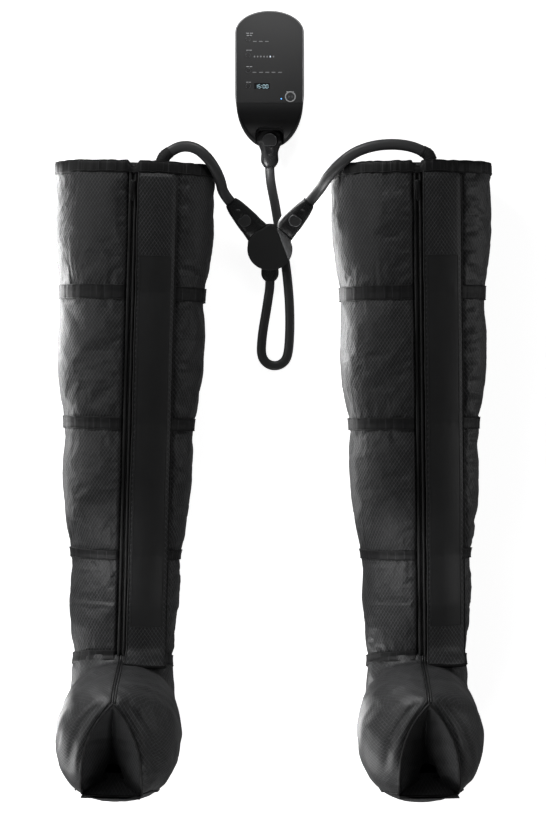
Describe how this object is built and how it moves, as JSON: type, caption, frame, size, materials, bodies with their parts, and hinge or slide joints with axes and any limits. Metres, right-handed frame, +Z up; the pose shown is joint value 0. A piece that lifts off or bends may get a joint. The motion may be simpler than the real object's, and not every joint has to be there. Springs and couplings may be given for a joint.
{
  "type": "compression therapy pump",
  "caption": "Keypad air pump with latching hoses, a round Y splitter and inflatable leg boots that have air chambers, a zip with a cover flap and an open toe.",
  "frame": {"origin": "centre of the footprint on the floor, of the pump, splitter and boots without the hoses and their plugs", "axes": "+Z up from the floor, +Y from the boots' soles towards their thigh ends and on to the pump, +X to the right seen from above"},
  "size_m": [0.6912, 1.2364, 0.3],
  "materials": {
    "case_plastic": "fine matte texture, charcoal",
    "face_plastic": "satin charcoal film",
    "display_glass": "dark gloss with pale digits",
    "ring_plastic": "light grey gloss",
    "button_plastic": "matte",
    "circuit_board": "green lacquer",
    "battery_wrap": "shrink film",
    "compressor_metal": "cast",
    "inner_plastic": "moulded",
    "screw_steel": "zinc plated",
    "foot_rubber": "matte rubber",
    "latch_plastic": "satin",
    "hose_rubber": "satin, smooth",
    "nylon_ripstop": "coated ripstop nylon with a satin sheen",
    "binding_tape": "woven tape",
    "slider_metal": "black enamel"
  },
  "bodies": {
    "pump": {"pump_front_shell": "case_plastic", "pump_rear_shell": "case_plastic", "pump_face_panel": "face_plastic", "pump_display_window": "display_glass", "pump_start_ring": "ring_plastic", "pump_circuit_board": "circuit_board", "pump_battery_pack": "battery_wrap", "pump_compressor": "compressor_metal", "pump_valve_block": "inner_plastic", "pump_air_socket": "inner_plastic", "pump_charge_jack": "inner_plastic", "pump_case_screws": "screw_steel", "pump_rubber_feet": "foot_rubber"},
    "start_button": {"pump_start_button": "button_plastic"},
    "program_button": {"pump_program_button": "button_plastic"},
    "zone_button": {"pump_zone_button": "button_plastic"},
    "level_button": {"pump_level_button": "button_plastic"},
    "time_button": {"pump_time_button": "button_plastic"},
    "power_button": {"pump_power_button": "button_plastic"},
    "hose_set": {"supply_plug_body": "case_plastic", "supply_plug_seal": "foot_rubber", "supply_hose": "hose_rubber", "splitter_cover": "case_plastic", "splitter_base": "case_plastic", "splitter_ports": "case_plastic", "splitter_collar": "case_plastic"},
    "supply_latch": {"supply_plug_latch": "latch_plastic"},
    "left_leg": {"left_leg_hose": "hose_rubber", "left_plug_body": "case_plastic", "left_plug_seal": "foot_rubber", "left_hose_grommet": "hose_rubber", "left_thigh_chamber": "nylon_ripstop", "left_knee_chamber": "nylon_ripstop", "left_calf_chamber": "nylon_ripstop", "left_ankle_chamber": "nylon_ripstop", "left_foot_chamber": "nylon_ripstop", "left_rim_binding": "binding_tape", "left_seam_bands": "binding_tape", "left_zip_track": "binding_tape", "left_toe_binding": "binding_tape"},
    "left_latch": {"left_plug_latch": "latch_plastic"},
    "left_zip": {"left_zip_slider": "slider_metal"},
    "left_flap": {"left_cover_flap": "nylon_ripstop"},
    "right_leg": {"right_leg_hose": "hose_rubber", "right_plug_body": "case_plastic", "right_plug_seal": "foot_rubber", "right_hose_grommet": "hose_rubber", "right_thigh_chamber": "nylon_ripstop", "right_knee_chamber": "nylon_ripstop", "right_calf_chamber": "nylon_ripstop", "right_ankle_chamber": "nylon_ripstop", "right_foot_chamber": "nylon_ripstop", "right_rim_binding": "binding_tape", "right_seam_bands": "binding_tape", "right_zip_track": "binding_tape", "right_toe_binding": "binding_tape"},
    "right_latch": {"right_plug_latch": "latch_plastic"},
    "right_zip": {"right_zip_slider": "slider_metal"},
    "right_flap": {"right_cover_flap": "nylon_ripstop"}
  },
  "joints": [
    {"name": "start_button_press", "type": "slide", "parent": "pump", "child": "start_button", "axis": [0, 0, -1], "range_m": [0, 0.0008], "stiffness_N_per_m": 900},
    {"name": "program_button_press", "type": "slide", "parent": "pump", "child": "program_button", "axis": [0, 0, -1], "range_m": [0, 0.0006], "stiffness_N_per_m": 900},
    {"name": "zone_button_press", "type": "slide", "parent": "pump", "child": "zone_button", "axis": [0, 0, -1], "range_m": [0, 0.0006], "stiffness_N_per_m": 900},
    {"name": "level_button_press", "type": "slide", "parent": "pump", "child": "level_button", "axis": [0, 0, -1], "range_m": [0, 0.0006], "stiffness_N_per_m": 900},
    {"name": "time_button_press", "type": "slide", "parent": "pump", "child": "time_button", "axis": [0, 0, -1], "range_m": [0, 0.0006], "stiffness_N_per_m": 900},
    {"name": "power_button_press", "type": "slide", "parent": "pump", "child": "power_button", "axis": [-1, 0, 0], "range_m": [0, 0.0008], "stiffness_N_per_m": 900},
    {"name": "supply_plug_pull", "type": "slide", "parent": "pump", "child": "hose_set", "axis": [0, -1, 0], "range_m": [0, 0.03]},
    {"name": "supply_latch_press", "type": "slide", "parent": "hose_set", "child": "supply_latch", "axis": [0, 0, -1], "range_m": [0, 0.0015], "stiffness_N_per_m": 900},
    {"name": "left_plug_pull", "type": "slide", "parent": "hose_set", "child": "left_leg", "axis": [-0.6361, 0.7049, 0.3138], "range_m": [0, 0.03]},
    {"name": "left_latch_press", "type": "slide", "parent": "left_leg", "child": "left_latch", "axis": [0, 0.4067, -0.9136], "range_m": [0, 0.0015], "stiffness_N_per_m": 900},
    {"name": "left_zip_slide", "type": "slide", "parent": "left_leg", "child": "left_zip", "axis": [-0.0276, -0.9988, -0.0398], "range_m": [0, 0.7]},
    {"name": "left_flap_lift", "type": "hinge", "parent": "left_leg", "child": "left_flap", "pos_m": [-0.1591, -0.01432, 0.1155], "axis": [0.0276, 0.9976, 0.063], "range_deg": [0, 85]},
    {"name": "right_plug_pull", "type": "slide", "parent": "hose_set", "child": "right_leg", "axis": [0.6361, 0.7049, 0.3138], "range_m": [0, 0.03]},
    {"name": "right_latch_press", "type": "slide", "parent": "right_leg", "child": "right_latch", "axis": [0, 0.4067, -0.9136], "range_m": [0, 0.0015], "stiffness_N_per_m": 900},
    {"name": "right_zip_slide", "type": "slide", "parent": "right_leg", "child": "right_zip", "axis": [0.0131, -0.9991, -0.0398], "range_m": [0, 0.7]},
    {"name": "right_flap_lift", "type": "hinge", "parent": "right_leg", "child": "right_flap", "pos_m": [0.29655, -0.01146, 0.1155], "axis": [-0.013, 0.9979, 0.063], "range_deg": [0, 85]}
  ]
}
